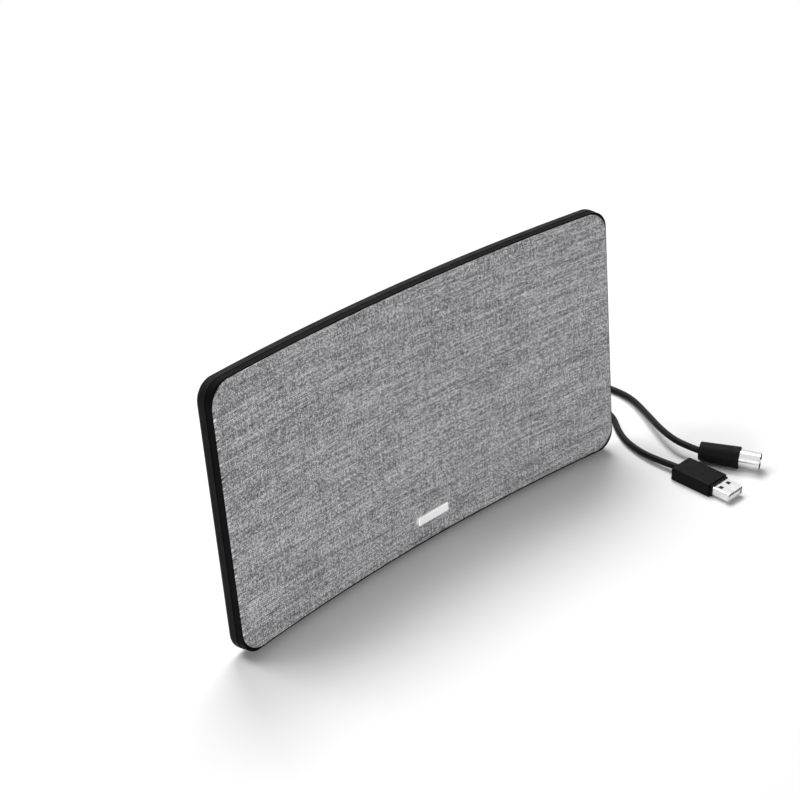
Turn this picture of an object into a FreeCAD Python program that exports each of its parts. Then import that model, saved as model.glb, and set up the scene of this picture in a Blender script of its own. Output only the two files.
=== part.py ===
import FreeCAD, Part
import math
import os

os.makedirs("parts", exist_ok=True)
Vector = FreeCAD.Vector
UP = Vector(0, 0, 1)
BACK = Vector(0, 1, 0)
RIGHT = Vector(1, 0, 0)

# Indoor TV antenna: a bent, cloth-fronted panel that leans back on an amplifier foot.
# Millimetres and degrees. +Z is up, the cloth faces -Y, and the origin is on the
# floor, under the middle of the panel and foot.

# Panel: the cloth's outline, measured along its bend
cloth_width = 250.4
cloth_height = 128.4
cloth_corner = 11.2
panel_corner = 9.0
curve_radius = 962.4
lean = 6.35
panel_lift = 3.0

# Overlap of a peg's flat end with the bent plate it grows from, and the run of cutters past the panel
peg_sink = 0.8
cutter_run = 20.0

# Cloth and the carrier that it is stretched over
cloth_thickness = 0.5
cloth_wrap = 0.8
cloth_edge_radius = 0.7
carrier_plate = 1.9
carrier_edge = 3.4
carrier_grow = 0.6
rim_below = 0.45
carrier_rib = 1.2
carrier_rib_height = 1.4
carrier_rib_rise = 21.4
carrier_rib_arcs = (27.8, 83.5)
tongue_length = 1.6
tongue_wall = 1.4
tongue_fit = 0.15

# Rear housing of the panel
housing_grow = 0.8
housing_depth = 5.4
housing_wall = 1.8
housing_floor = 1.8
housing_back_radius = 2.5

# Screws, and the places of the panel's screws from its middle and its edges
screw_radius = 1.25
screw_head_radius = 2.3
screw_head_height = 1.5
screw_slot_length = 3.2
screw_slot_width = 0.6
screw_slot_depth = 0.7
head_room = 0.3
shank_room = 0.2
boss_wall = 1.7
panel_screw_length = 4.2
panel_screw_edge = 11.2
panel_screw_end = 13.2
panel_screw_arc = 64.0
well_wall = 1.2
well_depth = 1.8

# Stamped aerial plates, inside an outline that keeps clear of the walls
layer_inset = 4.0
element_thickness = 0.4
element_seat = 0.6
element_gap = 8.0
element_end = 9.2
element_edge = 20.2
element_full_from = 72.0
element_neck = 12.0
element_strip = 6.0
lug_width = 5.0
lug_height = 20.7
post_arc = 30.0
post_end = 21.0
post_edge = 14.0
post_radius = 2.6
stud_radius = 1.2
stud_room = 0.1
stud_length = 0.7

# Blank bar low on the cloth
bar_length = 20.0
bar_height = 4.4
bar_thickness = 1.2
bar_centre = 12.3
bar_edge_radius = 0.4

# Amplifier foot behind the panel
foot_width = 100.0
foot_depth = 56.0
foot_front_height = 48.0
foot_rear_height = 19.0
foot_wall = 2.0
foot_bottom = 1.3
foot_corner = 10.0
foot_top_radius = 5.0
foot_screw_arc = 38.0
foot_screw_low = 13.0
foot_screw_high = 34.0
foot_screw_length = 7.0
base_thickness = 2.2
base_fit = 0.2
base_screw_length = 8.0
base_screw_side = 8.0
base_screw_front = 16.5
base_screw_rear_side = 28.0
base_screw_back = 8.0

# Opening for the lugs of the aerial plates
lug_slot_width = 18.0
lug_slot_height = 9.0

# Rubber pads
front_pad_arc = 88.0
front_pad_length = 16.0
front_pad_inset = 0.3
front_pad_depth = 2.3
rear_pad_radius = 4.5
rear_pad_recess = 0.5
rear_pad_side = 14.0
rear_pad_back = 15.0

# Amplifier board, upright behind the panel
board_width = 70.0
board_height = 22.0
board_bottom = 8.0
board_thickness = 1.6
board_standoff = 9.0
board_margin = 4.0
board_screw_length = 5.0
lug_room = 0.3
lug_reach = 1.0
can_width = 20.0
can_height = 17.0
can_depth = 4.5
can_sheet = 0.4
can_end = 7.5
chip_side = 6.0
chip_height = 1.4
capacitor_radius = 2.5
capacitor_height = 6.0
capacitor_pitch = 7.0
capacitor_end = 12.0

# Cables, glands, coils and ties
cable_diameter = 3.5
gland_height = 9.5
gland_collar = 1.6
gland_collar_radius = 4.2
gland_neck_radius = 3.4
gland_flange = 1.4
gland_flange_radius = 4.6
gland_boot = 10.6
gland_boot_radius = 3.6
gland_tip_radius = 2.7
gland_bore = 6.0
coax_gland_y = 39.0
usb_gland_y = 25.0
coax_coil_centre = (104.0, 100.0)
coax_coil_diameter = 41.7
coax_coil_turns = 9.375
coax_coil_columns = 3
coax_coil_rows = 3
coax_tie_bearing = 120.0
usb_coil_centre = (128.0, 50.0)
usb_coil_diameter = 40.9
usb_coil_turns = 6.5
usb_coil_columns = 3
usb_coil_rows = 2
usb_tie_bearing = 80.0
tie_thickness = 0.8
tie_width = 7.0
coil_section_corner = 1.7
run_share = 0.45
coil_entry_lift = 0.6

# Aerial plug
coax_grip_length = 20.8
coax_grip_rear_radius = 4.85
coax_grip_front_radius = 5.85
coax_grip_edge = 0.6
sleeve_radius = 4.75
sleeve_wall = 0.5
sleeve_reach = 10.4
sleeve_seat = 6.0
sleeve_seat_radius = 4.45
sleeve_shoulder = 0.3
insulator_length = 5.0
pin_radius = 1.2
pin_setback = 0.6
pin_tip_radius = 0.7
coax_plug_place = Vector(157.4, -64.5, 0)
coax_plug_heading = -65.4

# USB plug
usb_grip_length = 22.7
usb_grip_width = 14.8
usb_grip_height = 7.2
usb_grip_edge = 0.8
usb_collar = 1.4
usb_collar_margin = 0.7
usb_shell_width = 12.0
usb_shell_height = 4.5
usb_shell_reach = 11.0
usb_shell_seat = 8.0
usb_shell_sheet = 0.3
usb_shell_edge = 0.6
usb_window = 2.3
usb_window_setback = 6.6
usb_window_pitch = 6.0
usb_tongue_height = 1.8
usb_tongue_fit = 0.05
usb_tongue_setback = 0.5
usb_contact_width = 1.0
usb_contact_height = 0.2
usb_contact_length = 7.4
usb_contact_setback = 1.2
usb_contact_offsets = (-3.5, -1.0, 1.0, 3.5)
usb_plug_place = Vector(131.0, -69.8, 0)
usb_plug_heading = -90.0

# Depths behind the cloth's face, worked out from the sizes above
plate_back = cloth_thickness + carrier_plate
split_depth = cloth_wrap + carrier_edge
tongue_end = split_depth + tongue_length
back_depth = split_depth + housing_depth
floor_depth = back_depth - housing_floor
well_front = floor_depth - well_depth
element_back = floor_depth - element_seat
element_front = element_back - element_thickness
middle_height = cloth_height / 2
lug_bottom = lug_height - lug_width / 2
cable_radius = cable_diameter / 2

nodes = {}
cord_nodes = {}


def upright_box(x0, x1, y0, y1, z0, z1):
    return Part.makeBox(x1 - x0, y1 - y0, z1 - z0, Vector(x0, y0, z0))


def bend(shape, arc):
    """Swings a shape made at the middle of the panel to its place along the bend."""
    turned = shape.copy()
    turned.rotate(Vector(0, -curve_radius, 0), UP, -math.degrees(arc / curve_radius))
    return turned


def stand(shape):
    """Leans a panel piece back and lifts it to its height above the floor."""
    placed = shape.copy()
    placed.rotate(Vector(0, 0, 0), RIGHT, -lean)
    placed.translate(Vector(0, 0, panel_lift))
    return placed


def bent_plate(grow, front, back, below=0, corner=panel_corner):
    """Plate bent about the upright axis: the cloth's outline, grown by grow and by below at its foot."""
    half_angle = math.degrees((cloth_width / 2 + grow) / curve_radius)
    low = Vector(0, front, -grow - below)
    section = Part.makePolygon([
        low,
        low + Vector(0, back - front, 0),
        Vector(0, back, cloth_height + grow),
        Vector(0, front, cloth_height + grow),
        low,
    ])
    face = Part.Face(section)
    axis_foot = Vector(0, -curve_radius, 0)
    face.rotate(axis_foot, UP, -half_angle)
    plate = face.revolve(axis_foot, UP, 2 * half_angle)
    corners = [
        edge for edge in plate.Edges
        if isinstance(edge.Curve, Part.Line) and abs(edge.tangentAt(edge.FirstParameter).z) < 0.5
    ]
    return plate.makeFillet(corner + grow, corners)


def round_rim(plate, depth, radius):
    """Rounds the outline of the plate's face that lies at this depth."""
    for face in plate.Faces:
        bent = isinstance(face.Surface, Part.Cylinder) and abs(face.Surface.Axis.z) > 0.9
        if bent and abs(face.Surface.Radius - curve_radius - depth) < 0.001:
            return plate.makeFillet(radius, face.Edges)


def peg(arc, height, front, back, radius):
    """Round peg square to the bend, between two depths."""
    return bend(Part.makeCylinder(radius, back - front, Vector(0, front, height), BACK), arc)


def screw(length, at, direction):
    """Pan-head screw: at is the underside of its head, direction the way it is driven."""
    shank = Part.makeCylinder(screw_radius, length, at, direction)
    top = at - direction * screw_head_height
    head = Part.makeCylinder(screw_head_radius, screw_head_height, top, direction)
    rim = [edge for edge in head.Edges if edge.Closed and edge.CenterOfMass.isEqual(top, 0.01)]
    head = head.makeFillet(screw_head_height / 2, rim)
    turn = FreeCAD.Rotation(UP, direction)
    cross = []
    for length, width in ((screw_slot_length, screw_slot_width), (screw_slot_width, screw_slot_length)):
        blade = Part.makeBox(length, width, screw_slot_depth, Vector(-length / 2, -width / 2, 0))
        blade.Placement = FreeCAD.Placement(top, turn).multiply(blade.Placement)
        cross.append(blade)
    return shank.fuse(head).cut(cross)


# Panel screws: places of the wells in the housing and the bosses on the carrier
panel_screw_far = cloth_width / 2 - panel_screw_end
panel_screw_places = [
    (side * arc, height)
    for side in (-1, 1)
    for arc in (panel_screw_arc, panel_screw_far)
    for height in (panel_screw_edge, cloth_height - panel_screw_edge)
]
foot_screw_places = [
    (side * foot_screw_arc, height)
    for side in (-1, 1)
    for height in (foot_screw_low, foot_screw_high)
]

# Cloth skin: a shallow tray of cloth with a soft front edge
cloth_core = round_rim(
    bent_plate(-cloth_thickness, cloth_thickness, cloth_wrap, corner=cloth_corner),
    cloth_thickness,
    cloth_edge_radius - cloth_thickness,
)
cloth_skin = round_rim(bent_plate(0, 0, cloth_wrap, corner=cloth_corner), 0, cloth_edge_radius)
nodes["fabric_cover"] = stand(cloth_skin.cut(cloth_core))

# Front carrier: moulded plate with a ribbed back, a tongue and eight screw bosses
tongue_grow = housing_grow - housing_wall - tongue_fit
pocket_grow = tongue_grow - tongue_wall
carrier = cloth_core.fuse([
    bent_plate(carrier_grow, cloth_wrap, split_depth, rim_below),
    bent_plate(tongue_grow, split_depth, tongue_end),
])
carrier = carrier.cut(bent_plate(pocket_grow, plate_back, tongue_end))
rib_layer = bent_plate(pocket_grow, plate_back, plate_back + carrier_rib_height)
reach = cloth_width
rib_walls = []
for rise in (-carrier_rib_rise, carrier_rib_rise):
    low = middle_height + rise - carrier_rib / 2
    rib_walls.append(upright_box(-reach, reach, -reach, reach, low, low + carrier_rib))
for arc in carrier_rib_arcs:
    wall = upright_box(-carrier_rib / 2, carrier_rib / 2, -cutter_run, cutter_run, 0, cloth_height)
    rib_walls += [bend(wall, -arc), bend(wall, arc)]
ribs = [rib_layer.common(wall) for wall in rib_walls]
bosses = [
    peg(arc, height, plate_back - peg_sink, well_front, screw_radius + boss_wall)
    for arc, height in panel_screw_places
]
pilots = [
    peg(arc, height, plate_back, well_front, screw_radius)
    for arc, height in panel_screw_places
]
nodes["front_carrier"] = stand(carrier.fuse(ribs + bosses).cut(pilots))

# Rear housing: bent shell with screw wells, posts for the aerial plates and a lug slot
housing_block = round_rim(
    bent_plate(housing_grow, split_depth, back_depth, rim_below), back_depth, housing_back_radius
)
housing = housing_block.cut(bent_plate(housing_grow - housing_wall, split_depth, floor_depth))
head_hole = screw_head_radius + head_room
shank_hole = screw_radius + shank_room
seat_depth = back_depth - screw_head_height - head_room
wells = [
    peg(arc, height, well_front, floor_depth + peg_sink, head_hole + well_wall)
    for arc, height in panel_screw_places
]
element_reach = cloth_width / 2 - element_end
element_rise = middle_height - element_edge
element_posts = [
    (post_arc, 0),
    (element_reach - post_end, element_rise - post_edge),
    (element_reach - post_end, post_edge - element_rise),
]
post_places = [
    (side * arc, middle_height + rise)
    for side in (-1, 1)
    for arc, rise in element_posts
]
seat_layer = bent_plate(-layer_inset, element_back, floor_depth + peg_sink)
posts = [
    seat_layer.common(peg(arc, height, element_front, back_depth, post_radius))
    for arc, height in post_places
]
studs = [
    peg(arc, height, element_front - stud_length, floor_depth, stud_radius)
    for arc, height in post_places
]
housing = housing.fuse(wells + posts + studs)
holes = [
    peg(arc, height, well_front, back_depth, shank_hole) for arc, height in panel_screw_places
]
holes += [
    peg(arc, height, seat_depth, back_depth, head_hole) for arc, height in panel_screw_places
]
holes += [
    peg(arc, height, floor_depth, back_depth, shank_hole) for arc, height in foot_screw_places
]
holes += [
    peg(arc, height, element_front, floor_depth, head_hole) for arc, height in foot_screw_places
]
board_front = back_depth + board_standoff
lug_slot = upright_box(
    -lug_slot_width / 2, lug_slot_width / 2,
    element_front, board_front,
    lug_height - lug_slot_height / 2, lug_height + lug_slot_height / 2,
)
nodes["rear_housing"] = stand(housing.cut(holes + [lug_slot]))

# Screws that pull the carrier into the housing
nodes["housing_screws"] = Part.makeCompound([
    stand(bend(screw(panel_screw_length, Vector(0, seat_depth, height), BACK * -1), arc))
    for arc, height in panel_screw_places
])

# Aerial plates: bow-tie halves stamped from sheet, each with a strip down to a bent lug
board_back = board_front + board_thickness
element_layer = bent_plate(-layer_inset, element_front, element_back)
for name, side in (("left_element", -1), ("right_element", 1)):
    inner = element_gap / 2
    outline = [
        (inner, lug_bottom),
        (inner + element_strip, lug_bottom),
        (inner + element_strip, middle_height - element_neck),
        (element_full_from, middle_height - element_rise),
        (element_reach, middle_height - element_rise),
        (element_reach, middle_height + element_rise),
        (element_full_from, middle_height + element_rise),
        (inner, middle_height + element_neck),
    ]
    wire = Part.makePolygon([Vector(side * x, -cutter_run, z) for x, z in outline + outline[:1]])
    plate = element_layer.common(Part.Face(wire).extrude(BACK * (2 * cutter_run)))
    lug = upright_box(
        min(side * inner, side * (inner + element_thickness)),
        max(side * inner, side * (inner + element_thickness)),
        element_front, board_back + lug_reach,
        lug_bottom, lug_bottom + lug_width,
    )
    stud_holes = [
        peg(side * arc, middle_height + rise, plate_back, back_depth, stud_radius + stud_room)
        for arc, rise in element_posts
    ]
    nodes[name] = stand(plate.fuse(lug).cut(stud_holes))

# Blank bar on the cloth
bar_box = upright_box(
    -bar_length / 2, bar_length / 2,
    -cutter_run, cutter_run,
    bar_centre - bar_height / 2, bar_centre + bar_height / 2,
)
bar = bent_plate(0, -bar_thickness, 0).common(bar_box)
nodes["badge_bar"] = stand(round_rim(bar, -bar_thickness, bar_edge_radius))


def foot_block(inset, bottom):
    """Wedge of the foot with its walls moved in by inset, from bottom up to its sloped roof."""
    half = foot_width / 2 - inset
    rear = foot_depth - inset
    fall = (foot_front_height - foot_rear_height) / foot_depth
    drop = inset * math.hypot(1, fall)
    profile = Part.makePolygon([
        Vector(-half, 0, bottom),
        Vector(-half, rear, bottom),
        Vector(-half, rear, foot_front_height - fall * rear - drop),
        Vector(-half, 0, foot_front_height - drop),
        Vector(-half, 0, bottom),
    ])
    wedge = Part.Face(profile).extrude(Vector(2 * half, 0, 0))
    uprights = [
        edge for edge in wedge.Edges
        if abs(edge.tangentAt(edge.FirstParameter).z) > 0.99 and edge.CenterOfMass.y > rear - 0.01
    ]
    wedge = wedge.makeFillet(foot_corner - inset, uprights)
    for face in wedge.Faces:
        if 0.1 < face.normalAt(0, 0).z < 0.99:
            eaves = [edge for edge in face.Edges if edge.CenterOfMass.y > 0.01]
            return wedge.makeFillet(foot_top_radius - inset, eaves)


def panel_mass(depth):
    """Everything in front of this depth, to trim the foot to the back of the panel."""
    return stand(bent_plate(layer_inset, -2 * foot_depth, depth))


# Amplifier foot: hollow wedge, open below, that follows the panel's bent back
base_top = foot_bottom + base_thickness
foot_mass = foot_block(0, foot_bottom).cut(panel_mass(back_depth))
foot_room = foot_block(foot_wall, 0).cut(panel_mass(back_depth + foot_wall))
foot = foot_mass.cut(foot_room)
base_screw_pairs = (
    (foot_width / 2 - base_screw_side, base_screw_front),
    (foot_width / 2 - base_screw_rear_side, foot_depth - base_screw_back),
)
base_screw_places = [(side * x, y) for x, y in base_screw_pairs for side in (-1, 1)]
columns = [
    Part.makeCylinder(screw_radius + boss_wall, foot_front_height, Vector(x, y, base_top)).common(foot_mass)
    for x, y in base_screw_places
]
foot_bosses = [
    stand(peg(arc, height, back_depth, back_depth + foot_screw_length, screw_radius + boss_wall))
    for arc, height in foot_screw_places
]
board_screw_places = [
    (side * (board_width / 2 - board_margin), height)
    for side in (-1, 1)
    for height in (board_bottom + board_margin, board_bottom + board_height - board_margin)
]
standoffs = [
    stand(Part.makeCylinder(screw_radius + boss_wall, board_standoff + foot_wall,
                            Vector(x, back_depth - foot_wall, z), BACK)).cut(panel_mass(back_depth))
    for x, z in board_screw_places
]
foot = foot.fuse(columns + foot_bosses + standoffs)
foot_pilots = [
    Part.makeCylinder(screw_radius, base_screw_length, Vector(x, y, base_top)) for x, y in base_screw_places
]
foot_pilots += [
    stand(peg(arc, height, floor_depth, back_depth + foot_screw_length, screw_radius))
    for arc, height in foot_screw_places
]
foot_pilots += [
    stand(Part.makeCylinder(screw_radius, board_screw_length - board_thickness,
                            Vector(x, board_front, z), BACK * -1))
    for x, z in board_screw_places
]
wall_x = foot_width / 2
gland_holes = [
    Part.makeCylinder(gland_neck_radius, foot_wall, Vector(wall_x - foot_wall, y, gland_height), RIGHT)
    for y in (coax_gland_y, usb_gland_y)
]
nodes["foot_housing"] = foot.cut(foot_pilots + gland_holes + [stand(lug_slot)])

# Screws from inside the panel into the foot
nodes["foot_screws"] = Part.makeCompound([
    stand(bend(screw(foot_screw_length, Vector(0, floor_depth, height), BACK), arc))
    for arc, height in foot_screw_places
])

# Base plate that closes the foot, its screws and the rubber pads
base_inset = foot_wall + base_fit
base = foot_block(base_inset, foot_bottom).cut(panel_mass(back_depth + base_inset))
base = base.common(upright_box(-foot_width, foot_width, 0, foot_depth, foot_bottom, base_top))
base_seat = foot_bottom + screw_head_height
base_cuts = [
    Part.makeCylinder(shank_hole, base_thickness, Vector(x, y, foot_bottom)) for x, y in base_screw_places
]
base_cuts += [
    Part.makeCylinder(head_hole, screw_head_height, Vector(x, y, foot_bottom)) for x, y in base_screw_places
]
pad_places = [(side * (foot_width / 2 - rear_pad_side), foot_depth - rear_pad_back) for side in (-1, 1)]
rear_pads = [
    Part.makeCylinder(rear_pad_radius, foot_bottom + rear_pad_recess, Vector(x, y, 0)) for x, y in pad_places
]
nodes["base_plate"] = base.cut(base_cuts + rear_pads)
nodes["base_screws"] = Part.makeCompound([
    screw(base_screw_length, Vector(x, y, base_seat), UP) for x, y in base_screw_places
])
nodes["rear_pads"] = Part.makeCompound(rear_pads)
pad_front = split_depth + front_pad_inset
pad_layer = stand(bent_plate(housing_grow + panel_lift, pad_front, pad_front + front_pad_depth))
pad_layer = pad_layer.cut(stand(bent_plate(housing_grow, 0, back_depth, rim_below)))
nodes["front_pads"] = Part.makeCompound([
    pad_layer.common(upright_box(
        side * front_pad_arc - front_pad_length / 2,
        side * front_pad_arc + front_pad_length / 2,
        -foot_depth, foot_depth, 0, middle_height,
    ))
    for side in (-1, 1)
])

# Amplifier board with its can, chip, capacitors and screws
board = upright_box(
    -board_width / 2, board_width / 2, board_front, board_back, board_bottom, board_bottom + board_height
)
board_holes = [
    Part.makeCylinder(shank_hole, board_thickness, Vector(x, board_front, z), BACK)
    for x, z in board_screw_places
]
for side in (-1, 1):
    lug_centre = side * (element_gap / 2 + element_thickness / 2)
    slot_half = element_thickness / 2 + lug_room
    lug_low = lug_bottom - lug_room
    board_holes.append(upright_box(
        lug_centre - slot_half, lug_centre + slot_half, board_front, board_back,
        lug_low, lug_low + lug_width + 2 * lug_room,
    ))
nodes["amplifier_board"] = stand(board.cut(board_holes))
nodes["board_screws"] = Part.makeCompound([
    stand(screw(board_screw_length, Vector(x, board_back, z), BACK * -1)) for x, z in board_screw_places
])
can_offset = can_end + can_width / 2 - board_width / 2
can_centre = board_bottom + board_height / 2
can_outer = upright_box(
    can_offset - can_width / 2, can_offset + can_width / 2,
    board_back, board_back + can_depth,
    can_centre - can_height / 2, can_centre + can_height / 2,
)
can_inner = upright_box(
    can_offset - can_width / 2 + can_sheet, can_offset + can_width / 2 - can_sheet,
    board_back, board_back + can_depth - can_sheet,
    can_centre - can_height / 2 + can_sheet, can_centre + can_height / 2 - can_sheet,
)
nodes["shield_can"] = stand(can_outer.cut(can_inner))
nodes["amplifier_chip"] = stand(upright_box(
    can_offset - chip_side / 2, can_offset + chip_side / 2,
    board_back, board_back + chip_height,
    can_centre - chip_side / 2, can_centre + chip_side / 2,
))
nodes["board_capacitors"] = Part.makeCompound([
    stand(Part.makeCylinder(
        capacitor_radius, capacitor_height,
        Vector(board_width / 2 - capacitor_end - step * capacitor_pitch, board_back, can_centre), BACK))
    for step in (0, 1)
])


flange_end = wall_x + gland_flange
gland_tip = flange_end + gland_boot


def gland(y):
    """Moulded strain relief: collar inside the wall, neck, flange and tapered boot around the cable."""
    inner = wall_x - foot_wall
    outline = Part.makePolygon([
        Vector(inner - gland_collar, 0, 0),
        Vector(inner - gland_collar, gland_collar_radius, 0),
        Vector(inner, gland_collar_radius, 0),
        Vector(inner, gland_neck_radius, 0),
        Vector(wall_x, gland_neck_radius, 0),
        Vector(wall_x, gland_flange_radius, 0),
        Vector(flange_end, gland_flange_radius, 0),
        Vector(flange_end, gland_boot_radius, 0),
        Vector(gland_tip, gland_tip_radius, 0),
        Vector(gland_tip, cable_radius, 0),
        Vector(gland_tip - gland_bore, cable_radius, 0),
        Vector(gland_tip - gland_bore, 0, 0),
        Vector(inner - gland_collar, 0, 0),
    ])
    body = Part.Face(outline).revolve(Vector(0, 0, 0), RIGHT, 360)
    body.translate(Vector(0, y, gland_height))
    return body


nodes["coax_gland"] = gland(coax_gland_y)
nodes["usb_gland"] = gland(usb_gland_y)


def lay(shape, place, heading, height):
    """Lays a plug, made along +X with its front face at the origin, on the floor."""
    laid = shape.copy()
    laid.rotate(Vector(0, 0, 0), UP, heading)
    laid.translate(place + UP * height)
    return laid


def tube(front, back, outer, inner):
    """Round tube along X."""
    ring = Part.makeCylinder(outer, back - front, Vector(front, 0, 0), RIGHT)
    return ring.cut(Part.makeCylinder(inner, back - front, Vector(front, 0, 0), RIGHT))


# Aerial plug: tapered grip, plated sleeve, insulator and centre pin
grip = Part.makeCone(
    coax_grip_rear_radius, coax_grip_front_radius, coax_grip_length, Vector(-coax_grip_length, 0, 0), RIGHT
)
grip = grip.makeFillet(coax_grip_edge, [edge for edge in grip.Edges if isinstance(edge.Curve, Part.Circle)])
grip = grip.cut(Part.makeCylinder(sleeve_seat_radius, sleeve_seat, Vector(-sleeve_seat, 0, 0), RIGHT))
sleeve_bore = sleeve_radius - sleeve_wall
sleeve = tube(-sleeve_seat, sleeve_shoulder, sleeve_seat_radius, sleeve_bore)
sleeve = sleeve.fuse(tube(sleeve_shoulder, sleeve_reach, sleeve_radius, sleeve_bore)).removeSplitter()
insulator = tube(-sleeve_seat, insulator_length - sleeve_seat, sleeve_bore, pin_radius)
pin_length = sleeve_seat + sleeve_reach - pin_setback
pin = Part.makeCylinder(pin_radius, pin_length, Vector(-sleeve_seat, 0, 0), RIGHT)
pin = pin.makeFillet(pin_tip_radius, [
    edge for edge in pin.Edges if isinstance(edge.Curve, Part.Circle) and edge.CenterOfMass.x > 0
])
coax_axis = coax_grip_front_radius
for name, shape in (
    ("coax_plug_grip", grip), ("coax_plug_sleeve", sleeve),
    ("coax_plug_insulator", insulator), ("coax_plug_pin", pin),
):
    cord_nodes[name] = lay(shape, coax_plug_place, coax_plug_heading, coax_axis)


def slab(front, back, width, height, edge):
    """Box along X, centred on the axis, with its four long edges rounded."""
    block = upright_box(front, back, -width / 2, width / 2, -height / 2, height / 2)
    long_edges = [e for e in block.Edges if abs(e.tangentAt(e.FirstParameter).x) > 0.99]
    return block.makeFillet(edge, long_edges)


# USB plug: moulded grip with a stepped front, folded shell, tongue and four contacts
usb_shell = slab(-usb_shell_seat, usb_shell_reach, usb_shell_width, usb_shell_height, usb_shell_edge)
usb_grip = slab(-usb_grip_length, 0, usb_grip_width, usb_grip_height, usb_grip_edge)
usb_step = slab(
    -usb_grip_edge, usb_collar,
    usb_shell_width + 2 * usb_collar_margin, usb_shell_height + 2 * usb_collar_margin, usb_grip_edge,
)
usb_grip = usb_grip.fuse(usb_step).cut(usb_shell)
inner_width = usb_shell_width - 2 * usb_shell_sheet
inner_height = usb_shell_height - 2 * usb_shell_sheet
usb_bore = slab(
    -usb_shell_seat, usb_shell_reach, inner_width, inner_height, usb_shell_edge - usb_shell_sheet
)
window_x = usb_shell_reach - usb_window_setback
windows = [
    upright_box(
        window_x - usb_window / 2, window_x + usb_window / 2,
        side * usb_window_pitch / 2 - usb_window / 2, side * usb_window_pitch / 2 + usb_window / 2,
        -usb_shell_height, usb_shell_height,
    )
    for side in (-1, 1)
]
usb_shell = usb_shell.cut([usb_bore] + windows)
tongue_floor = -inner_height / 2 + usb_tongue_fit
tongue_top = tongue_floor + usb_tongue_height
tongue_half = inner_width / 2 - usb_shell_edge
usb_tongue = upright_box(
    -usb_shell_seat, usb_shell_reach - usb_tongue_setback,
    -tongue_half, tongue_half, tongue_floor, tongue_top,
)
contact_front = usb_shell_reach - usb_contact_setback
usb_contacts = Part.makeCompound([
    upright_box(
        contact_front - usb_contact_length, contact_front,
        offset - usb_contact_width / 2, offset + usb_contact_width / 2,
        tongue_top, tongue_top + usb_contact_height,
    )
    for offset in usb_contact_offsets
])
usb_axis = usb_grip_height / 2
for name, shape in (
    ("usb_plug_grip", usb_grip), ("usb_plug_shell", usb_shell),
    ("usb_plug_tongue", usb_tongue), ("usb_plug_contacts", usb_contacts),
):
    cord_nodes[name] = lay(shape, usb_plug_place, usb_plug_heading, usb_axis)


def cord(name, points):
    """Round cable along straight runs joined by tangent arcs; returns its solid and length."""
    edges = []
    at = points[0]
    tightest = None
    for before, corner, after in zip(points, points[1:], points[2:]):
        way_in = corner - before
        way_out = after - corner
        reach = run_share * min(way_in.Length, way_out.Length)
        half_turn = way_in.getAngle(way_out) / 2
        way_in.normalize()
        way_out.normalize()
        radius = reach / math.tan(half_turn)
        tightest = radius if tightest is None else min(tightest, radius)
        arc_start = corner - way_in * reach
        arc_end = corner + way_out * reach
        inward = (way_out - way_in).normalize()
        arc_middle = corner + inward * (radius / math.cos(half_turn) - radius)
        edges.append(Part.makeLine(at, arc_start))
        edges.append(Part.Arc(arc_start, arc_middle, arc_end).toShape())
        at = arc_end
    edges.append(Part.makeLine(at, points[-1]))
    path = Part.Wire(edges)
    ring = Part.Wire(Part.makeCircle(cable_radius, points[0], points[1] - points[0]))
    solid = path.makePipeShell([ring], True, False)
    fill = solid.Volume / (math.pi * cable_radius ** 2 * path.Length)
    print(f"{name}: length {path.Length:.1f}, tightest radius {tightest:.1f}, volume share {fill:.4f}")
    return solid, path.Length


def coil(centre, diameter, columns, rows):
    """Wound part of a cable: one ring with the outer shape of its turns, on its tie."""
    width = columns * cable_diameter
    height = rows * cable_diameter
    low = Vector(diameter / 2 - width / 2, 0, tie_thickness)
    section = Part.makePolygon([
        low,
        low + RIGHT * width,
        low + RIGHT * width + UP * height,
        low + UP * height,
        low,
    ])
    face = Part.Face(section).makeOffset2D(-coil_section_corner).makeOffset2D(coil_section_corner)
    ring = face.revolve(Vector(0, 0, 0), UP, 360)
    ring.translate(Vector(centre[0], centre[1], 0))
    return ring


def tie(centre, diameter, bearing, columns, rows, ring):
    """Strap around the turns of a coil, at a compass bearing from its centre."""
    half = columns * cable_diameter / 2 + tie_thickness
    height = rows * cable_diameter + 2 * tie_thickness
    middle = diameter / 2
    strap = upright_box(middle - half, middle + half, -tie_width / 2, tie_width / 2, 0, height)
    strap = strap.makeFillet(coil_section_corner, [
        edge for edge in strap.Edges if abs(edge.tangentAt(edge.FirstParameter).y) > 0.99
    ])
    strap.rotate(Vector(0, 0, 0), UP, bearing)
    strap.translate(Vector(centre[0], centre[1], 0))
    return strap.cut(ring)


# Aerial cable: from the gland to its coil behind the panel, and on to its plug
cable_start = gland_tip - gland_bore
wound = cable_radius + tie_thickness + coil_entry_lift
coax_tail_route = [
    Vector(cable_start, coax_gland_y, gland_height),
    Vector(68.0, coax_gland_y, gland_height),
    Vector(84.0, 45.0, 5.0),
    Vector(91.0, 59.0, wound),
    Vector(86.0, 76.0, wound),
    Vector(80.3, 100.0, wound),
]
coax_grip_end = Part.Vertex(-coax_grip_length, 0, 0)
coax_plug_rear = lay(coax_grip_end, coax_plug_place, coax_plug_heading, coax_axis).Point
coax_lead_route = [
    Vector(120.7, 116.7, wound),
    Vector(137.5, 101.5, wound),
    Vector(153.5, 83.5, wound),
    Vector(167.0, 62.0, cable_radius),
    Vector(171.5, 42.5, cable_radius),
    Vector(172.5, 19.0, 2.5),
    Vector(162.5, 0.0, 4.0),
    Vector(152.0, -17.5, 6.0),
    Vector(146.5, -31.0, 7.0),
    Vector(147.0, -40.5, 6.6),
    coax_plug_rear,
]

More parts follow.
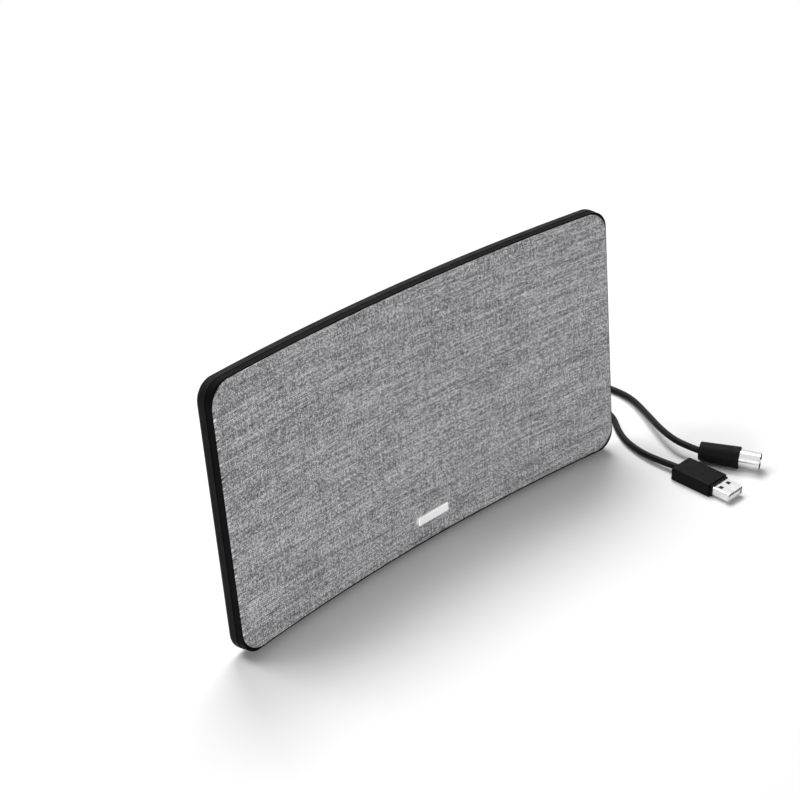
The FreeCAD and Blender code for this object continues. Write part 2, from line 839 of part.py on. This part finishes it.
# USB cable: the same, wound in front of the other coil
usb_tail_route = [
    Vector(cable_start, usb_gland_y, gland_height),
    Vector(68.0, usb_gland_y, gland_height),
    Vector(81.0, 26.0, 5.0),
    Vector(95.0, 31.5, wound),
    Vector(102.5, 40.5, wound),
    Vector(104.7, 50.0, wound),
]
usb_grip_end = Part.Vertex(-usb_grip_length, 0, 0)
usb_plug_rear = lay(usb_grip_end, usb_plug_place, usb_plug_heading, usb_axis).Point
usb_lead_route = [
    Vector(151.3, 50.0, wound),
    Vector(152.5, 34.0, wound),
    Vector(151.5, 13.5, cable_radius),
    Vector(140.5, 1.0, cable_radius),
    Vector(134.5, -9.5, cable_radius),
    Vector(130.5, -23.0, 2.4),
    Vector(130.0, -36.0, 3.3),
    usb_plug_rear,
]

coax_coil = (coax_coil_centre, coax_coil_diameter, coax_coil_columns, coax_coil_rows)
usb_coil = (usb_coil_centre, usb_coil_diameter, usb_coil_columns, usb_coil_rows)
for label, wound_as, turns, bearing, tail, lead in (
    ("coax", coax_coil, coax_coil_turns, coax_tie_bearing, coax_tail_route, coax_lead_route),
    ("usb", usb_coil, usb_coil_turns, usb_tie_bearing, usb_tail_route, usb_lead_route),
):
    centre, diameter, columns, rows = wound_as
    ring = coil(centre, diameter, columns, rows)
    tail_solid, tail_length = cord(label + "_tail", tail)
    lead_solid, lead_length = cord(label + "_lead", lead)
    print(f"{label} cable: {tail_length + lead_length + turns * math.pi * diameter:.0f} long")
    cord_nodes[label + "_coil"] = ring
    cord_nodes[label + "_tie"] = tie(centre, diameter, bearing, columns, rows, ring)
    cord_nodes[label + "_tail"] = tail_solid.cut(ring)
    cord_nodes[label + "_lead"] = lead_solid.cut([ring, cord_nodes[label + "_plug_grip"]])

# Origin on the floor, under the middle of the panel and foot
body_box = Part.makeCompound(list(nodes.values())).optimalBoundingBox()
to_origin = Vector(0, -(body_box.YMin + body_box.YMax) / 2, 0)
print(f"panel and foot: {body_box.XLength:.2f} x {body_box.YLength:.2f} x {body_box.ZLength:.2f}")
print(f"moved along Y by {to_origin.y:.3f}")
for name, shape in {**nodes, **cord_nodes}.items():
    shape.translate(to_origin)
    shape.exportStep(f"parts/{name}.step")
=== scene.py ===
import math

import bmesh
import bpy
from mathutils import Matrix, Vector


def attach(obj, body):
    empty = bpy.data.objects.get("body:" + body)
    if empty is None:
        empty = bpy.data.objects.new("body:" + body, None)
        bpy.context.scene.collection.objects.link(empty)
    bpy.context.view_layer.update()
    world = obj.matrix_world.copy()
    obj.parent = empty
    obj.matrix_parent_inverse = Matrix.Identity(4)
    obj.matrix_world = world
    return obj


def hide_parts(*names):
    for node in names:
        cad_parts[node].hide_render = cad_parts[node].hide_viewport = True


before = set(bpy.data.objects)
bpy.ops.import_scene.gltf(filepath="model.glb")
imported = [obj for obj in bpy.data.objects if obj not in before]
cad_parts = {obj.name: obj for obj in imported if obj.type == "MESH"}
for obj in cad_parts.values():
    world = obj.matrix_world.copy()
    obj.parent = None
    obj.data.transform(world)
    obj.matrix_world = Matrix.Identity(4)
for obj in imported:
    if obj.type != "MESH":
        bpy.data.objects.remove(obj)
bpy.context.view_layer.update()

# Aerial plates: two bow-tie halves stamped from thin aluminium sheet. They drop over
# studs inside the rear housing, and each has a lug bent back to the amplifier board.


def new_finish(name, colour, roughness, metallic=0.0):
    """Plain finish, with its shader to work on."""
    finish = bpy.data.materials.new(name)
    finish.use_nodes = True
    shader = finish.node_tree.nodes["Principled BSDF"]
    shader.inputs["Base Color"].default_value = (*colour, 1)
    shader.inputs["Roughness"].default_value = roughness
    shader.inputs["Metallic"].default_value = metallic
    return finish, shader


def node(finish, kind, **values):
    """Adds a node to a finish and sets its settings and sockets by name."""
    made = finish.node_tree.nodes.new(kind)
    for key, value in values.items():
        if hasattr(made, key):
            setattr(made, key, value)
        else:
            made.inputs[key.replace("_", " ")].default_value = value
    return made


def join(finish, start, end):
    """Links an output to an input of the same finish."""
    finish.node_tree.links.new(start, end)


def fine_noise(finish, per_metre, stretch=(1, 1, 1), detail=2.0):
    """Noise fixed to the piece, so many cells to the metre, drawn out where stretch is small."""
    place = node(finish, "ShaderNodeTexCoord")
    sizes = node(finish, "ShaderNodeMapping")
    sizes.inputs["Scale"].default_value = stretch
    noise = node(finish, "ShaderNodeTexNoise", Scale=per_metre, Detail=detail)
    join(finish, place.outputs["Object"], sizes.inputs["Vector"])
    join(finish, sizes.outputs["Vector"], noise.inputs["Vector"])
    return noise.outputs["Fac"]


noise_low = 0.3
noise_high = 0.7


def spread(finish, value, low, high):
    """Spreads a noise's middle range over low to high."""
    ranged = node(finish, "ShaderNodeMapRange")
    ranged.inputs["From Min"].default_value = noise_low
    ranged.inputs["From Max"].default_value = noise_high
    ranged.inputs["To Min"].default_value = low
    ranged.inputs["To Max"].default_value = high
    join(finish, value, ranged.inputs["Value"])
    return ranged.outputs["Result"]


def two_tones(finish, value, dark, light):
    """Colour from dark to light, as the value goes from 0 to 1."""
    mixed = node(finish, "ShaderNodeMix", data_type="RGBA")
    first, second = [socket for socket in mixed.inputs if socket.type == "RGBA"]
    first.default_value = (*dark, 1)
    second.default_value = (*light, 1)
    join(finish, value, mixed.inputs[0])
    return next(socket for socket in mixed.outputs if socket.type == "RGBA")


def raise_by(finish, shader, value, depth, strength=1.0):
    """Fine relief of that depth in metres, where the value is high."""
    bumped = node(finish, "ShaderNodeBump", Strength=strength, Distance=depth)
    join(finish, value, bumped.inputs["Height"])
    join(finish, bumped.outputs["Normal"], shader.inputs["Normal"])


def dress(finish, *names):
    """Gives the finish to every slot of the named pieces."""
    for name in names:
        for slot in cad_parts[name].material_slots:
            slot.material = finish


sheet_finish, sheet_shader = new_finish("stamped_sheet", (0.72, 0.73, 0.74), 0.35, 1.0)
rolled = fine_noise(sheet_finish, 900, (0.04, 1, 1))
join(sheet_finish, spread(sheet_finish, rolled, 0.28, 0.46), sheet_shader.inputs["Roughness"])
raise_by(sheet_finish, sheet_shader, rolled, 0.00003)
dress(sheet_finish, "left_element", "right_element")

# Rear housing: a bent shell moulded in black plastic with a fine spark-eroded grain.
# It carries the aerial plates inside, and screws through its wells pull the carrier to it.
clouds_per_metre = 60
polish_per_metre = 240
grains_per_metre = 3200
grain_strength = 0.6


def moulded(name, dark, light, smooth, rough, grain, gloss=0.25):
    """Moulded plastic: grainy surface, a little unevenly coloured and polished."""
    finish, shader = new_finish(name, light, rough)
    shader.inputs["Specular IOR Level"].default_value = gloss
    clouds = two_tones(finish, fine_noise(finish, clouds_per_metre), dark, light)
    join(finish, clouds, shader.inputs["Base Color"])
    polish = spread(finish, fine_noise(finish, polish_per_metre), smooth, rough)
    join(finish, polish, shader.inputs["Roughness"])
    raise_by(finish, shader, fine_noise(finish, grains_per_metre, detail=3.0), grain, grain_strength)
    return finish


housing_plastic = moulded(
    "housing_plastic", (0.003, 0.003, 0.0031), (0.005, 0.005, 0.0052),
    smooth=0.45, rough=0.6, grain=0.00004, gloss=0.06,
)
dress(housing_plastic, "rear_housing")

# Front carrier: the black moulded plate that the cloth is stretched over. Its edge stays
# bare as a dark band around the cloth, and a tongue behind it seats in the rear housing.
# Its plastic is black, and is set darker than the housing's as painted shade: the extra
# darkness stands in for the shade of that recessed band round the cloth.
shaded_carrier_plastic = moulded(
    "shaded_carrier_plastic", (0.0015, 0.0015, 0.0015), (0.0028, 0.0028, 0.0028),
    smooth=0.45, rough=0.6, grain=0.00003, gloss=0.025,
)
dress(shaded_carrier_plastic, "front_carrier")

# Cloth: grey heather weave, stretched over the carrier, wrapped round its front edge and
# glued. Dark and light yarns cross in a plain weave, with longer pale slubs along them.
cloth_width = 0.2504
cloth_height = 0.1284
cloth_corner = 0.0112
cloth_edge = 0.0007
cloth_wrap = 0.0008
cloth_thickness = 0.0005
bend_radius = 0.9624
lean = math.radians(6.35)
panel_lift = 0.003
panel_back = -0.024401
cloth_cell = 0.0026
corner_steps = 10
roll_steps = 5


def on_panel(arc, height, depth):
    """Point of the leaning panel: along its bend, up from the cloth's lower edge, behind its face."""
    turn = arc / bend_radius
    x = (bend_radius + depth) * math.sin(turn)
    y = (bend_radius + depth) * math.cos(turn) - bend_radius
    return Vector((
        x,
        y * math.cos(lean) + height * math.sin(lean) + panel_back,
        height * math.cos(lean) - y * math.sin(lean) + panel_lift,
    ))


def rounded_outline(half_width, half_height, radius, steps):
    """Points round a rectangle with round corners, anticlockwise."""
    points = []
    for quarter, (sx, sy) in enumerate(((1, 1), (-1, 1), (-1, -1), (1, -1))):
        for step in range(steps + 1):
            angle = math.radians(90 * (quarter + step / steps))
            points.append((
                sx * (half_width - radius) + radius * math.cos(angle),
                sy * (half_height - radius) + radius * math.sin(angle),
            ))
    return points


def outward(point, half_width, half_height, radius):
    """Direction out of the rounded outline at one of its points."""
    over_x = max(abs(point.x) - (half_width - radius), 0)
    over_y = max(abs(point.y) - (half_height - radius), 0)
    way = Vector((math.copysign(over_x, point.x), math.copysign(over_y, point.y), 0))
    return way.normalized()


def cloth_mesh():
    """Flat cut with a rolled edge, drawn in arc, height and depth, then set on the panel."""
    half_width = cloth_width / 2 - cloth_edge
    half_height = cloth_height / 2 - cloth_edge
    radius = cloth_corner - cloth_edge
    work = bmesh.new()
    outline = rounded_outline(half_width, half_height, radius, corner_steps)
    work.faces.new([work.verts.new((*point, 0)) for point in outline])
    for axis, half in ((Vector((1, 0, 0)), half_width), (Vector((0, 1, 0)), half_height)):
        cuts = int(2 * half / cloth_cell)
        for cut in range(1, cuts):
            bmesh.ops.bisect_plane(
                work, geom=work.verts[:] + work.edges[:] + work.faces[:],
                plane_co=axis * (-half + 2 * half * cut / cuts), plane_no=axis,
            )
    bmesh.ops.recalc_face_normals(work, faces=work.faces[:])
    profile = []
    for step in range(1, roll_steps + 1):
        angle = math.radians(90 * step / roll_steps)
        profile.append((cloth_edge * math.sin(angle), cloth_edge * (1 - math.cos(angle))))
    profile.append((cloth_edge, cloth_wrap))
    profile.append((cloth_edge - cloth_thickness, cloth_wrap))
    rim = [edge for edge in work.edges if edge.is_boundary]
    start = {}
    for edge in rim:
        for vert in edge.verts:
            start[vert] = (vert.co.copy(), outward(vert.co, half_width, half_height, radius))
    for out, depth in profile:
        made = bmesh.ops.extrude_edge_only(work, edges=rim)["geom"]
        fresh = [part for part in made if isinstance(part, bmesh.types.BMVert)]
        rim = [part for part in made if isinstance(part, bmesh.types.BMEdge) and part.is_boundary]
        moved = {}
        for vert in fresh:
            for edge in vert.link_edges:
                other = edge.other_vert(vert)
                if other in start:
                    base, way = start[other]
                    vert.co = base + way * out + Vector((0, 0, depth))
                    moved[vert] = (base, way)
        start = moved
    flat = work.loops.layers.uv.new("cloth")
    for face in work.faces:
        for loop in face.loops:
            loop[flat].uv = (loop.vert.co.x + loop.vert.co.z, loop.vert.co.y + loop.vert.co.z)
    for vert in work.verts:
        vert.co = on_panel(vert.co.x, vert.co.y + cloth_height / 2, vert.co.z)
    bmesh.ops.recalc_face_normals(work, faces=work.faces[:])
    mesh = bpy.data.meshes.new("fabric_front")
    work.to_mesh(mesh)
    work.free()
    for face in mesh.polygons:
        face.use_smooth = True
    return mesh


yarns_per_metre = 1850
weft_slubs_per_metre = 45.0
warp_slubs_per_metre = 60.0
yarn_step = 7.31
weft_base = -0.015
weft_share = 0.8
warp_base = 0.03
warp_share = 0.5
speck_share = 0.32
yarn_height = 0.00022
fabric = bpy.data.objects.new("fabric_front", cloth_mesh())
bpy.context.scene.collection.objects.link(fabric)

weave, weave_shader = new_finish("heather_weave", (0.26, 0.26, 0.265), 0.9)


def worked(finish, operation, *values):
    """One step of arithmetic on values that are each a socket or a number."""
    step = node(finish, "ShaderNodeMath", operation=operation)
    for socket, value in zip(step.inputs, values):
        if isinstance(value, (int, float)):
            socket.default_value = value
        else:
            join(finish, value, socket)
    return step.outputs[0]


def weighed(finish, start, *shares):
    """Adds values to a start, each times its share."""
    total = start
    for value, share in shares:
        total = worked(finish, "MULTIPLY_ADD", value, share, total)
    return total


def yarn_tone(along, index, slubs_per_metre, salt):
    """Tone of a yarn: its own shade, apart from its neighbours', changing along its length."""
    vector = node(weave, "ShaderNodeCombineXYZ")
    join(weave, worked(weave, "MULTIPLY", along, slubs_per_metre), vector.inputs["X"])
    join(weave, worked(weave, "MULTIPLY", index, yarn_step), vector.inputs["Y"])
    vector.inputs["Z"].default_value = salt
    noise = node(weave, "ShaderNodeTexNoise", Scale=1.0, Detail=1.5)
    join(weave, vector.outputs["Vector"], noise.inputs["Vector"])
    return noise.outputs["Fac"]


place = node(weave, "ShaderNodeUVMap", uv_map="cloth")
parts = node(weave, "ShaderNodeSeparateXYZ")
join(weave, place.outputs["UV"], parts.inputs["Vector"])
across = worked(weave, "MULTIPLY", parts.outputs["X"], yarns_per_metre)
upward = worked(weave, "MULTIPLY", parts.outputs["Y"], yarns_per_metre)
warp_index = worked(weave, "FLOOR", across)
weft_index = worked(weave, "FLOOR", upward)
weft_over = worked(
    weave, "GREATER_THAN",
    worked(weave, "FLOORED_MODULO", worked(weave, "ADD", warp_index, weft_index), 2.0), 0.5,
)
crossing = node(weave, "ShaderNodeCombineXYZ")
join(weave, warp_index, crossing.inputs["X"])
join(weave, weft_index, crossing.inputs["Y"])
speck = node(weave, "ShaderNodeTexWhiteNoise", noise_dimensions="2D")
join(weave, crossing.outputs["Vector"], speck.inputs["Vector"])
weft_tone = weighed(
    weave, weft_base,
    (yarn_tone(parts.outputs["X"], weft_index, weft_slubs_per_metre, salt=1.7), weft_share),
    (speck.outputs["Value"], speck_share),
)
warp_tone = weighed(
    weave, warp_base,
    (yarn_tone(parts.outputs["Y"], warp_index, warp_slubs_per_metre, salt=4.1), warp_share),
    (speck.outputs["Value"], speck_share),
)
warp_over = worked(weave, "SUBTRACT", 1.0, weft_over)
tone = worked(
    weave, "ADD",
    worked(weave, "MULTIPLY", weft_tone, weft_over),
    worked(weave, "MULTIPLY", warp_tone, warp_over),
)
shades = node(weave, "ShaderNodeValToRGB")
ramp = shades.color_ramp
ramp.elements[0].position = 0.28
ramp.elements[0].color = (0.033, 0.033, 0.0345, 1)
ramp.elements[1].position = 0.74
ramp.elements[1].color = (0.823, 0.82, 0.845, 1)
middle = ramp.elements.new(0.5)
middle.color = (0.276, 0.274, 0.285, 1)
join(weave, tone, shades.inputs["Fac"])
join(weave, shades.outputs["Color"], weave_shader.inputs["Base Color"])


def yarn_round(value):
    """Round top of a yarn across its width: 1 at its middle and 0 at its sides."""
    centred = worked(weave, "SUBTRACT", worked(weave, "FRACT", value), 0.5)
    squared = worked(weave, "MULTIPLY", centred, centred)
    return worked(weave, "SUBTRACT", 1.0, worked(weave, "MULTIPLY", squared, 4.0))


height = worked(
    weave, "ADD",
    worked(weave, "MULTIPLY", yarn_round(upward), weft_over),
    worked(weave, "MULTIPLY", yarn_round(across), warp_over),
)
raise_by(weave, weave_shader, height, yarn_height, 0.8)
weave_shader.inputs["Sheen Weight"].default_value = 0.15
weave_shader.inputs["Sheen Roughness"].default_value = 0.6
fabric.data.materials.append(weave)
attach(fabric, "root")
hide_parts("fabric_cover")

# Bar: a small blank plate, stamped and chromed, with a bright satin face brushed along its
# length. It is stuck on low in the middle of the cloth.
bar_chrome, bar_shader = new_finish("satin_chrome", (0.97, 0.97, 0.97), 0.55, 1.0)
brushed = fine_noise(bar_chrome, 5000, (0.02, 1, 1))
join(bar_chrome, spread(bar_chrome, brushed, 0.48, 0.66), bar_shader.inputs["Roughness"])
raise_by(bar_chrome, bar_shader, brushed, 0.00001)
dress(bar_chrome, "badge_bar")

# Screws: small pan heads with a cross slot, zinc-plated. Eight pull the panel together,
# four hold the foot to it, four close the foot and four hold the amplifier board.
zinc, zinc_shader = new_finish("zinc_plate", (0.42, 0.42, 0.43), 0.35, 1.0)
join(zinc, spread(zinc, fine_noise(zinc, 1500), 0.25, 0.45), zinc_shader.inputs["Roughness"])
dress(zinc, "housing_screws", "foot_screws", "base_screws", "board_screws")

# Amplifier foot: a hollow black wedge, moulded, that props the panel and holds the board.
# A plate screwed on from below closes it.
foot_plastic = moulded(
    "foot_plastic", (0.004, 0.004, 0.0042), (0.0065, 0.0065, 0.0067),
    smooth=0.44, rough=0.58, grain=0.00005, gloss=0.08,
)
dress(foot_plastic, "foot_housing", "base_plate")

# Amplifier board: green glass-fibre board with a tinned can over the chip and two
# capacitors in dark sleeves, screwed to posts in the foot.
board_mask, board_shader = new_finish("solder_mask", (0.03, 0.16, 0.07), 0.4)
tracks = fine_noise(board_mask, 420, (1, 1, 6))
greens = two_tones(board_mask, tracks, (0.02, 0.12, 0.05), (0.05, 0.2, 0.09))
join(board_mask, greens, board_shader.inputs["Base Color"])
raise_by(board_mask, board_shader, tracks, 0.00003)
dress(board_mask, "amplifier_board")
tinned, tinned_shader = new_finish("tinned_sheet", (0.66, 0.66, 0.65), 0.35, 1.0)
join(tinned, spread(tinned, fine_noise(tinned, 500), 0.25, 0.5), tinned_shader.inputs["Roughness"])
dress(tinned, "shield_can")
package_black = moulded(
    "chip_package", (0.012, 0.012, 0.012), (0.02, 0.02, 0.02),
    smooth=0.5, rough=0.7, grain=0.00002,
)
dress(package_black, "amplifier_chip")
sleeve_blue = moulded(
    "capacitor_sleeve", (0.012, 0.014, 0.03), (0.018, 0.02, 0.045),
    smooth=0.25, rough=0.4, grain=0.00001,
)
dress(sleeve_blue, "board_capacitors")

# Pads and cable glands: soft black rubber. The pads are stuck under the panel's edge and
# the foot, and each gland is moulded on its cable and snapped into the wall of the foot.
soft_rubber = moulded(
    "soft_rubber", (0.012, 0.012, 0.012), (0.022, 0.022, 0.022),
    smooth=0.65, rough=0.85, grain=0.00006,
)
dress(soft_rubber, "front_pads", "rear_pads", "coax_gland", "usb_gland")

# Aerial cable: 1.5 m of black jacketed coaxial cable. It leaves the foot on the right,
# lies in a tied coil behind the panel, and comes out round its edge to the aerial plug.
cable_diameter = 0.0035
tie_thickness = 0.0008
lowest_turn = tie_thickness + cable_diameter / 2
turn_points = 24
curve_steps = 5
ring_steps = 5
jacket, jacket_shader = new_finish("cable_jacket", (0.0035, 0.0035, 0.0035), 0.42)
jacket_shader.inputs["Specular IOR Level"].default_value = 0.1
join(jacket, spread(jacket, fine_noise(jacket, 300), 0.34, 0.5), jacket_shader.inputs["Roughness"])
raise_by(jacket, jacket_shader, fine_noise(jacket, 2200), 0.00003, 0.5)


def coil_turns(centre, width, turns, first_bearing, cells, stay):
    """Points of a neat coil, wound clockwise from above, that steps through the cells of its bundle.

    The middle of the first step is a stay of turns from the start, that of the last step a stay
    from the end, and each step takes a stay.
    """
    steps = round(turns * turn_points)
    points = []
    for step in range(1, steps):
        turned = turns * step / steps
        column, row = cells[0]
        for number, (before, after) in enumerate(zip(cells, cells[1:])):
            moved = 0.5 + (turned - stay - number * (turns - 2 * stay) / (len(cells) - 2)) / stay
            moved = min(max(moved, 0), 1)
            column += moved * (after[0] - before[0])
            row += moved * (after[1] - before[1])
        radius = (width / 2 + column * cable_diameter) / math.cos(math.pi / turn_points)
        bearing = math.radians(first_bearing - 360 * turned)
        points.append((
            centre[0] + radius * math.cos(bearing),
            centre[1] + radius * math.sin(bearing),
            lowest_turn + row * cable_diameter,
        ))
    return points


def cable(name, route):
    """Round cable along a route, as one smooth curve."""
    line = bpy.data.curves.new(name, "CURVE")
    line.dimensions = "3D"
    spline = line.splines.new("NURBS")
    spline.points.add(len(route) - 1)
    for point, place in zip(spline.points, route):
        point.co = (*place, 1)
    spline.order_u = 3
    spline.use_endpoint_u = True
    spline.resolution_u = curve_steps
    line.bevel_depth = cable_diameter / 2
    line.bevel_resolution = ring_steps
    line.use_fill_caps = True
    line.materials.append(jacket)
    piece = bpy.data.objects.new(name, line)
    bpy.context.scene.collection.objects.link(piece)
    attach(piece, "root")
    return piece


coax_tail = [
    (0.0560, 0.014599, 0.0095), (0.0680, 0.014599, 0.0095), (0.0840, 0.020599, 0.0050),
    (0.0910, 0.034599, 0.00315), (0.0860, 0.051599, 0.00315), (0.0803, 0.075599, 0.00315),
]
coax_lead = [
    (0.1207, 0.092299, 0.00315), (0.1375, 0.077099, 0.00315), (0.1535, 0.059099, 0.00315),
    (0.1670, 0.037599, 0.00175), (0.1715, 0.018099, 0.00175), (0.1725, -0.005401, 0.0025),
    (0.1625, -0.024401, 0.0040), (0.1520, -0.041901, 0.0060), (0.1465, -0.055401, 0.0070),
    (0.1470, -0.064901, 0.0066), (0.148741, -0.069989, 0.00585),
]
coax_cells = [(1, 0), (1, 1), (1, 2), (0, 2), (-1, 2), (-1, 1), (0, 1), (-1, 0), (0, 0), (1, 0)]
coax_coil = coil_turns((0.104, 0.075599), 0.0417, 9.375, 180, coax_cells, 0.1875)
coax_cable = cable("aerial_cable", coax_tail + coax_coil + coax_lead)
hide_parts("coax_tail", "coax_coil", "coax_lead")

# Aerial plug: tapered black grip moulded over a nickel-plated brass sleeve, with a white
# insulator and a centre pin of the same plate inside it.
grip_plastic = moulded(
    "plug_plastic", (0.0025, 0.0025, 0.0025), (0.0045, 0.0045, 0.0045),
    smooth=0.42, rough=0.58, grain=0.00004, gloss=0.055,
)
dress(grip_plastic, "coax_plug_grip")
nickel, nickel_shader = new_finish("nickel_plate", (0.7, 0.7, 0.7), 0.14, 1.0)
join(nickel, spread(nickel, fine_noise(nickel, 900), 0.1, 0.2), nickel_shader.inputs["Roughness"])
dress(nickel, "coax_plug_sleeve", "coax_plug_pin")
insulator_white = moulded(
    "white_insulator", (0.72, 0.72, 0.7), (0.8, 0.8, 0.78),
    smooth=0.4, rough=0.55, grain=0.00001,
)
dress(insulator_white, "coax_plug_insulator")

# USB cable: 1 m of the same thickness, from its own gland through a smaller coil, and out
# beside the aerial cable to its plug.
usb_tail = [
    (0.0560, 0.000599, 0.0095), (0.0680, 0.000599, 0.0095), (0.0810, 0.001599, 0.0050),
    (0.0950, 0.007099, 0.00315), (0.1025, 0.016099, 0.00315), (0.1047, 0.025599, 0.00315),
]
usb_lead = [
    (0.1513, 0.025599, 0.00315), (0.1525, 0.009599, 0.00315), (0.1515, -0.010901, 0.00175),
    (0.1405, -0.023401, 0.00175), (0.1345, -0.033901, 0.00175), (0.1305, -0.047401, 0.0024),
    (0.1300, -0.060401, 0.0033), (0.1310, -0.071501, 0.0036),
]
usb_cells = [(1, 0), (1, 1), (0, 1), (-1, 1), (-1, 0), (0, 0), (1, 0)]
usb_coil = coil_turns((0.128, 0.025599), 0.0409, 6.5, 180, usb_cells, 0.25)
usb_cable = cable("usb_cable", usb_tail + usb_coil + usb_lead)
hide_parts("usb_tail", "usb_coil", "usb_lead")

# USB plug: black grip moulded over a shell folded from plated steel sheet, with two
# windows, and a moulded tongue with four contacts inside it.
dress(grip_plastic, "usb_plug_grip")
folded, folded_shader = new_finish("folded_steel", (0.7, 0.7, 0.7), 0.26, 1.0)
drawn = fine_noise(folded, 1200, (1, 0.1, 1))
join(folded, spread(folded, drawn, 0.2, 0.34), folded_shader.inputs["Roughness"])
dress(folded, "usb_plug_shell")
tongue_plastic = moulded(
    "tongue_plastic", (0.66, 0.66, 0.65), (0.75, 0.75, 0.74),
    smooth=0.4, rough=0.6, grain=0.00002,
)
dress(tongue_plastic, "usb_plug_tongue")
brass, brass_shader = new_finish("plated_brass", (0.85, 0.76, 0.58), 0.25, 1.0)
join(brass, spread(brass, fine_noise(brass, 900), 0.18, 0.34), brass_shader.inputs["Roughness"])
dress(brass, "usb_plug_contacts")

# Ties: short straps of black woven tape, one round each coil. The tape closes on itself
# and holds the turns together.
strap, strap_shader = new_finish("strap_weave", (0.012, 0.012, 0.012), 0.8)
raise_by(strap, strap_shader, fine_noise(strap, 1800, (1, 1, 0.3)), 0.00015)
join(strap, spread(strap, fine_noise(strap, 700), 0.7, 0.9), strap_shader.inputs["Roughness"])
dress(strap, "coax_tie", "usb_tie")

# Floor: a pale matt sheet that the antenna stands on. It keeps the shadows near the antenna
# and fades into the white room further off.
floor_half = 3.0
fade_start = 0.3
fade_end = 0.75
floor_mesh = bpy.data.meshes.new("floor")
floor_corners = [(x * floor_half, y * floor_half, 0) for x, y in ((-1, -1), (1, -1), (1, 1), (-1, 1))]
floor_mesh.from_pydata(floor_corners, [], [(0, 1, 2, 3)])
floor = bpy.data.objects.new("floor", floor_mesh)
bpy.context.scene.collection.objects.link(floor)
floor_paper, floor_shader = new_finish("floor_paper", (0.8, 0.8, 0.8), 0.95)
floor_shader.inputs["Specular IOR Level"].default_value = 0.1
spot = node(floor_paper, "ShaderNodeTexCoord")
away = node(floor_paper, "ShaderNodeVectorMath", operation="LENGTH")
fade = node(floor_paper, "ShaderNodeMapRange", interpolation_type="SMOOTHSTEP")
fade.inputs["From Min"].default_value = fade_start
fade.inputs["From Max"].default_value = fade_end
clear = node(floor_paper, "ShaderNodeBsdfTransparent")
blend = node(floor_paper, "ShaderNodeMixShader")
join(floor_paper, spot.outputs["Object"], away.inputs[0])
join(floor_paper, away.outputs["Value"], fade.inputs["Value"])
join(floor_paper, fade.outputs["Result"], blend.inputs["Fac"])
join(floor_paper, floor_shader.outputs["BSDF"], blend.inputs[1])
join(floor_paper, clear.outputs["BSDF"], blend.inputs[2])
floor_surface = floor_paper.node_tree.nodes["Material Output"]
join(floor_paper, blend.outputs["Shader"], floor_surface.inputs["Surface"])
floor_mesh.materials.append(floor_paper)

# Room: white to the eye and in reflections, with a little soft light from all round. Two
# lamps overhead throw the shadow forward, and one at the front left lights the cloth.
world = bpy.data.worlds.new("room")
bpy.context.scene.world = world
world.use_nodes = True
room = world.node_tree
seen = room.nodes.new("ShaderNodeLightPath")
white = room.nodes.new("ShaderNodeBackground")
soft = room.nodes.new("ShaderNodeBackground")
pick = room.nodes.new("ShaderNodeMixShader")
either = room.nodes.new("ShaderNodeMath")
either.operation = "MAXIMUM"
for background, strength in ((white, 1.0), (soft, 0.15)):
    background.inputs["Color"].default_value = (1, 1, 1, 1)
    background.inputs["Strength"].default_value = strength
gloss_or_glass = room.nodes.new("ShaderNodeMath")
gloss_or_glass.operation = "MAXIMUM"
room.links.new(seen.outputs["Is Glossy Ray"], gloss_or_glass.inputs[0])
room.links.new(seen.outputs["Is Transmission Ray"], gloss_or_glass.inputs[1])
room.links.new(seen.outputs["Is Camera Ray"], either.inputs[0])
room.links.new(gloss_or_glass.outputs[0], either.inputs[1])
room.links.new(either.outputs[0], pick.inputs["Fac"])
room.links.new(soft.outputs["Background"], pick.inputs[1])
room.links.new(white.outputs["Background"], pick.inputs[2])
room.links.new(pick.outputs["Shader"], room.nodes["World Output"].inputs["Surface"])


def soft_box(name, place, target, size, power):
    """Flat lamp that faces its target."""
    lamp = bpy.data.lights.new(name, "AREA")
    lamp.shape = "RECTANGLE"
    lamp.size, lamp.size_y = size
    lamp.energy = power
    made = bpy.data.objects.new(name, lamp)
    made.location = place
    made.rotation_euler = (Vector(target) - Vector(place)).to_track_quat("-Z", "Y").to_euler()
    bpy.context.scene.collection.objects.link(made)


soft_box("overhead_right", place=(0.42, 0.55, 1.3), target=(0, 0, 0), size=(0.7, 0.7), power=17)
soft_box("overhead_left", place=(-0.45, 0.55, 1.3), target=(0, 0, 0), size=(0.7, 0.7), power=12)
soft_box("front_fill", place=(-1.6, -1.5, 0.45), target=(0, 0, 0.08), size=(1.2, 0.7), power=38)

# Camera: a long lens, held above and to the left of the front and aimed at the panel. Its
# place and length were fitted to the outline of the panel and the plugs.
view = bpy.data.cameras.new("view")
view.lens = 80
view.sensor_width = 36
view.clip_start = 0.01
camera = bpy.data.objects.new("view", view)
camera.location = (-0.5105, -0.50987, 0.4834)
aim = Vector((-0.02323, -0.024401, 0.0874)) - camera.location
camera.rotation_euler = aim.to_track_quat("-Z", "Y").to_euler()
bpy.context.scene.collection.objects.link(camera)
bpy.context.scene.camera = camera
bpy.context.scene.view_settings.view_transform = "Standard"

bpy.context.view_layer.update()
